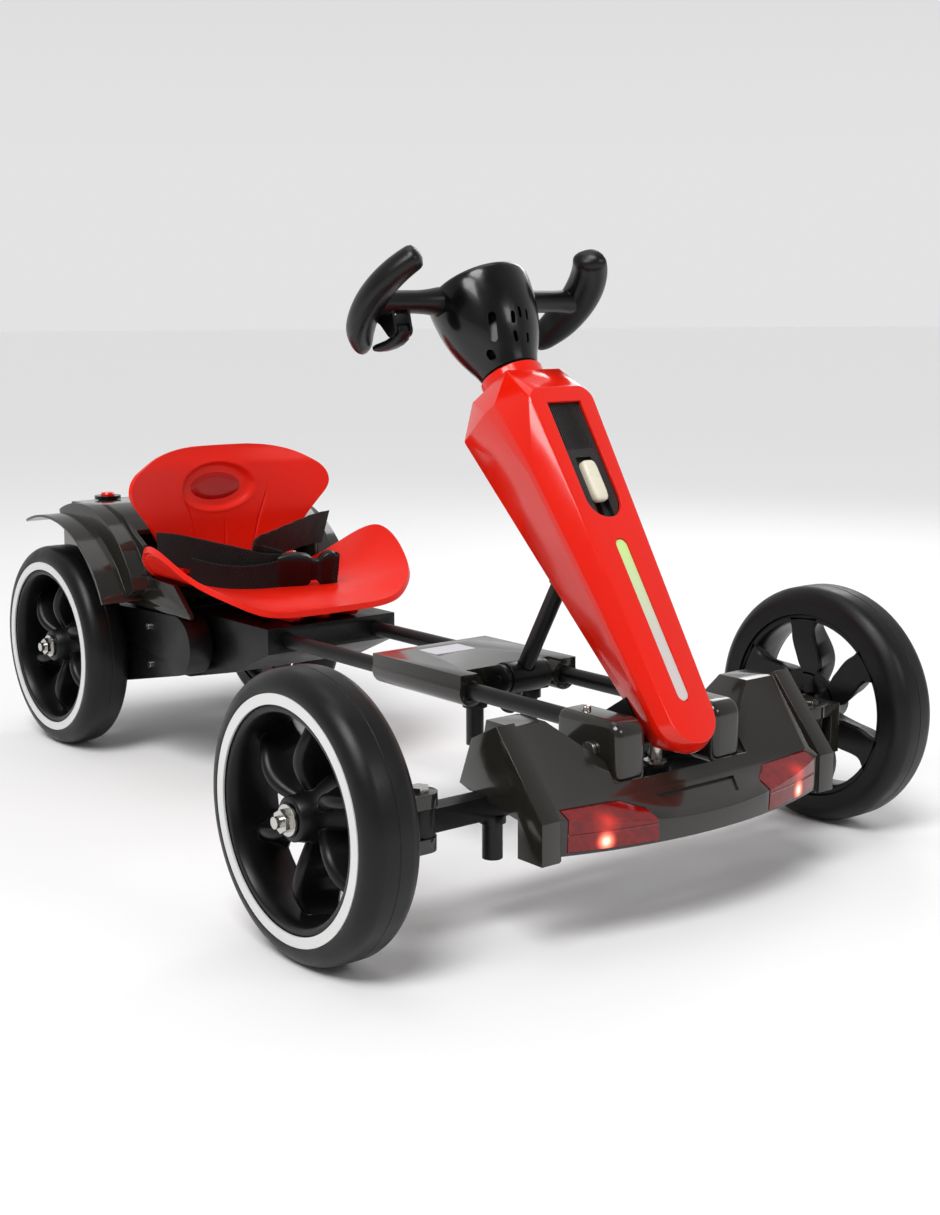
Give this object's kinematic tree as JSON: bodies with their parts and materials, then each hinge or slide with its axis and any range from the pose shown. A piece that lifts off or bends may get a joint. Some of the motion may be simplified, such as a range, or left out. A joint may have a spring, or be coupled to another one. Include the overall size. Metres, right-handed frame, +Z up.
{
  "type": "pedal go kart",
  "caption": "Low folding ride-on kart with bucket seat, leaning red steering column, curved hand grips, nose cover with lamps, ringed wheels and a rear drive.",
  "frame": {"origin": "on the floor under the middle of the whole kart", "axes": "+Z up, the kart faces -Y, +X is the rider's left"},
  "size_m": [0.694, 1.048, 0.5913],
  "materials": {
    "tyre": "matt moulded",
    "white_ring": "flat white inlay",
    "rim_black": "satin moulded",
    "zinc_steel": "zinc plated",
    "frame_black": "satin black powder coat",
    "cover_grey": "gloss gunmetal",
    "lamp_red": "translucent gloss",
    "red_gloss": "gloss moulded",
    "red_seat": "satin moulded",
    "black_plastic": "satin moulded",
    "black_gloss": "gloss moulded",
    "webbing": "woven webbing",
    "ivory": "smooth moulded",
    "diffuser": "frosted",
    "label": "blank sticker",
    "gear_plastic": "moulded",
    "pinion_brass": "machined",
    "battery_case": "moulded",
    "motor_can": "plated can"
  },
  "bodies": {
    "chassis": {"frame_tube_left": "frame_black", "frame_tube_right": "frame_black", "front_beam": "frame_black", "front_socket": "cover_grey", "fold_pin": "zinc_steel", "nose_cover": "cover_grey", "lamp_left": "lamp_red", "lamp_right": "lamp_red", "cross_plate": "cover_grey", "cross_bracket": "frame_black", "blank_label": "label", "rear_box": "black_plastic", "battery": "battery_case", "motor": "motor_can", "gear_case": "black_plastic", "gear_case_screws": "zinc_steel", "rear_axle": "zinc_steel", "rear_cover": "cover_grey", "seat_base": "red_seat", "seat_hinge": "zinc_steel", "belt_left": "webbing", "belt_right": "webbing", "buckle": "black_plastic", "button_bezel": "black_gloss"},
    "column": {"column_core": "frame_black", "column_shroud": "red_gloss", "light_strip": "diffuser", "ribbed_panel": "black_plastic"},
    "selector": {"slide_button": "ivory"},
    "prop_strut": {"strut": "frame_black"},
    "strut_swivel": {"strut_clamp": "frame_black"},
    "steering_head": {"steering_shaft": "zinc_steel", "steering_hub": "black_gloss", "grip_left": "black_plastic", "grip_right": "black_plastic"},
    "trigger": {"throttle_trigger": "black_plastic"},
    "spindle": {"steering_spindle": "zinc_steel"},
    "link": {"tie_rod": "zinc_steel"},
    "hinge_left": {"knuckle_left": "cover_grey", "stub_axle_left": "zinc_steel"},
    "hinge_right": {"knuckle_right": "cover_grey", "stub_axle_right": "zinc_steel"},
    "wheel_front_left": {"tyre_front_left": "tyre", "stripe_front_left": "white_ring", "rim_front_left": "rim_black"},
    "wheel_front_right": {"tyre_front_right": "tyre", "stripe_front_right": "white_ring", "rim_front_right": "rim_black"},
    "wheel_rear_left": {"tyre_rear_left": "tyre", "stripe_rear_left": "white_ring", "rim_rear_left": "rim_black"},
    "wheel_rear_right": {"tyre_rear_right": "tyre", "stripe_rear_right": "white_ring", "rim_rear_right": "rim_black", "drive_gear": "gear_plastic"},
    "gear_a": {"idler_rear": "gear_plastic"},
    "gear_b": {"idler_front": "gear_plastic"},
    "gear_c": {"motor_pinion": "pinion_brass"},
    "back_rest": {"seat_back": "red_seat"},
    "button": {"power_button": "red_gloss"}
  },
  "joints": [
    {"name": "column_fold", "type": "hinge", "parent": "chassis", "child": "column", "pos_m": [0, -0.446, 0.148], "axis": [-1, 0, 0], "range_deg": [0, 26]},
    {"name": "strut_pin", "type": "hinge", "parent": "column", "child": "prop_strut", "pos_m": [0, -0.32951, 0.28247], "axis": [-1, 0, 0], "range_deg": [-15.4, 0]},
    {"name": "strut_swivel_turn", "type": "hinge", "parent": "chassis", "child": "strut_swivel", "pos_m": [0, -0.266, 0.172], "axis": [-1, 0, 0], "range_deg": [0, 11]},
    {"name": "selector_slide", "type": "slide", "parent": "column", "child": "selector", "axis": [0, 0.5373, 0.8434], "range_m": [-0.015, 0]},
    {"name": "steer", "type": "hinge", "parent": "column", "child": "steering_head", "pos_m": [0, -0.446, 0.148], "axis": [0, 0.5373, 0.8434], "range_deg": [-35, 35]},
    {"name": "trigger_pull", "type": "hinge", "parent": "steering_head", "child": "trigger", "pos_m": [-0.096, -0.20638, 0.49808], "axis": [1, 0, 0], "range_deg": [0, 9], "stiffness_Nm_per_rad": 0.4, "springref_deg": -11.46},
    {"name": "spindle_turn", "type": "hinge", "parent": "chassis", "child": "spindle", "pos_m": [0, -0.446, 0.148], "axis": [0, 0, 1], "range_deg": [-31.6, 31.6]},
    {"name": "link_slide", "type": "slide", "parent": "chassis", "child": "link", "axis": [-1, 0, 0], "range_m": [-0.0145, 0.0145]},
    {"name": "kingpin_left", "type": "hinge", "parent": "chassis", "child": "hinge_left", "pos_m": [0.238, -0.419, 0.112], "axis": [0, 0, 1], "range_deg": [-18.6, 18.6]},
    {"name": "kingpin_right", "type": "hinge", "parent": "chassis", "child": "hinge_right", "pos_m": [-0.238, -0.419, 0.112], "axis": [0, 0, 1], "range_deg": [-18.6, 18.6]},
    {"name": "wheel_front_left_spin", "type": "hinge", "parent": "hinge_left", "child": "wheel_front_left", "pos_m": [0.312, -0.374, 0.12], "axis": [1, 0, 0], "continuous": true},
    {"name": "wheel_front_right_spin", "type": "hinge", "parent": "hinge_right", "child": "wheel_front_right", "pos_m": [-0.312, -0.374, 0.12], "axis": [1, 0, 0], "continuous": true},
    {"name": "wheel_rear_left_spin", "type": "hinge", "parent": "chassis", "child": "wheel_rear_left", "pos_m": [0.151, 0.404, 0.12], "axis": [1, 0, 0], "continuous": true},
    {"name": "wheel_rear_right_spin", "type": "hinge", "parent": "chassis", "child": "wheel_rear_right", "pos_m": [-0.151, 0.404, 0.12], "axis": [1, 0, 0], "continuous": true},
    {"name": "idler_rear_spin", "type": "hinge", "parent": "chassis", "child": "gear_a", "pos_m": [-0.107, 0.329, 0.126], "axis": [1, 0, 0], "continuous": true},
    {"name": "idler_front_spin", "type": "hinge", "parent": "chassis", "child": "gear_b", "pos_m": [-0.107, 0.269, 0.132], "axis": [1, 0, 0], "continuous": true},
    {"name": "pinion_spin", "type": "hinge", "parent": "chassis", "child": "gear_c", "pos_m": [-0.107, 0.224, 0.14], "axis": [1, 0, 0], "continuous": true},
    {"name": "seat_back_fold", "type": "hinge", "parent": "chassis", "child": "back_rest", "pos_m": [0, 0.262, 0.222], "axis": [1, 0, 0], "range_deg": [0, 26]},
    {"name": "power_press", "type": "slide", "parent": "chassis", "child": "button", "axis": [0, 0, -1], "range_m": [0, 0.003], "stiffness_N_per_m": 400, "springref_m": -0.002}
  ],
  "couplings": [
    {"joint": "strut_pin", "follows": "column_fold", "ratio": -0.583},
    {"joint": "strut_swivel_turn", "follows": "column_fold", "ratio": 0.417},
    {"joint": "spindle_turn", "follows": "steer", "ratio": 0.9},
    {"joint": "kingpin_left", "follows": "steer", "ratio": 0.53},
    {"joint": "kingpin_right", "follows": "steer", "ratio": 0.53},
    {"joint": "link_slide", "follows": "steer", "m_per_rad": 0.0235},
    {"joint": "idler_rear_spin", "follows": "wheel_rear_right_spin", "ratio": -1.5},
    {"joint": "idler_front_spin", "follows": "wheel_rear_right_spin", "ratio": 1.5},
    {"joint": "pinion_spin", "follows": "wheel_rear_right_spin", "ratio": -3}
  ]
}
